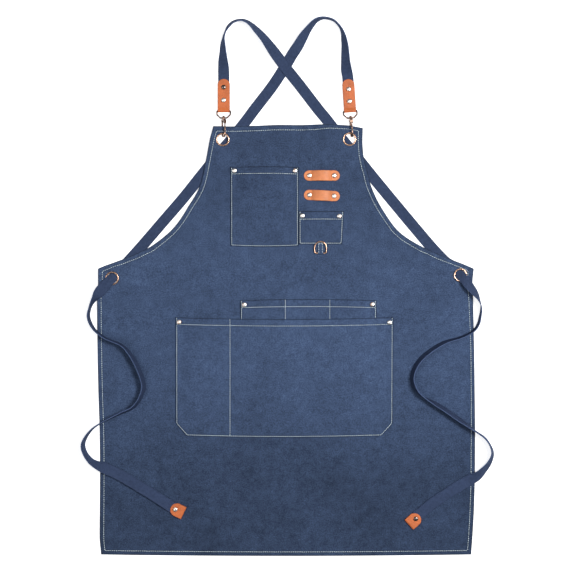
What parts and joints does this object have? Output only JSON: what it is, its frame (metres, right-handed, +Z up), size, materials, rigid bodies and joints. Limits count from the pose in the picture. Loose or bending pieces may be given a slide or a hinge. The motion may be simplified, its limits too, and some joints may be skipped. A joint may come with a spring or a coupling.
{
  "type": "cross-back apron",
  "caption": "Blue canvas cross-back work apron with sewn pockets, leather loops and tabs, eyelets, snap hooks and webbing straps that run on as ties.",
  "frame": {"origin": "on the table, under the middle of the laid-out apron and its straps", "axes": "+X to the right seen from above, +Y from the hem to the shoulder straps, +Z up off the table"},
  "size_m": [0.7482, 0.9746, 0.0228],
  "materials": {
    "canvas": "matt woven cotton",
    "webbing": "matt ribbed cotton",
    "leather": "smooth tan",
    "bronze": "polished bronze plating",
    "nickel": "polished nickel plating"
  },
  "bodies": {
    "apron": {"body_panel": "canvas", "main_pocket": "canvas", "tool_pocket": "canvas", "chest_pocket": "canvas", "small_pocket": "canvas", "shoulder_strap_left": "webbing", "back_strap_left": "webbing", "tie_right": "webbing", "shoulder_strap_right": "webbing", "back_strap_right": "webbing", "tie_left": "webbing", "d_ring_tape": "webbing", "tool_loop_upper": "leather", "tool_loop_lower": "leather", "shoulder_tab_left": "leather", "shoulder_tab_right": "leather", "tie_tab_left": "leather", "tie_tab_right": "leather", "eyelet_bib_left": "bronze", "eyelet_bib_right": "bronze", "eyelet_waist_left": "bronze", "eyelet_waist_right": "bronze", "snap_hook_left": "bronze", "snap_hook_right": "bronze", "snap_loop_left": "bronze", "snap_loop_right": "bronze", "d_ring": "nickel", "rivet_main_left": "nickel", "rivet_main_right": "nickel", "rivet_tool_left": "nickel", "rivet_tool_right": "nickel", "rivet_chest_left": "nickel", "rivet_chest_right": "nickel", "rivet_small_left": "nickel", "rivet_small_right": "nickel", "rivet_loop_left_upper": "nickel", "rivet_loop_right_upper": "nickel", "rivet_loop_left_lower": "nickel", "rivet_loop_right_lower": "nickel", "rivet_tab_left_1": "nickel", "rivet_tab_left_2": "nickel", "rivet_tab_right_1": "nickel", "rivet_tab_right_2": "nickel", "rivet_tie_left": "nickel", "rivet_tie_right": "nickel"},
    "gate_left": {"snap_gate_left": "bronze"},
    "gate_right": {"snap_gate_right": "bronze"}
  },
  "joints": [
    {"name": "gate_left_hinge", "type": "hinge", "parent": "apron", "child": "gate_left", "pos_m": [-0.11246, 0.2965, 0.01302], "axis": [0.9135, 0, -0.4067], "range_deg": [0, 15], "stiffness_Nm_per_rad": 0.004, "springref_deg": -22.92},
    {"name": "gate_right_hinge", "type": "hinge", "parent": "apron", "child": "gate_right", "pos_m": [0.11621, 0.29659, 0.01391], "axis": [0.9826, 0.0653, -0.1736], "range_deg": [0, 15], "stiffness_Nm_per_rad": 0.004, "springref_deg": -22.92}
  ]
}
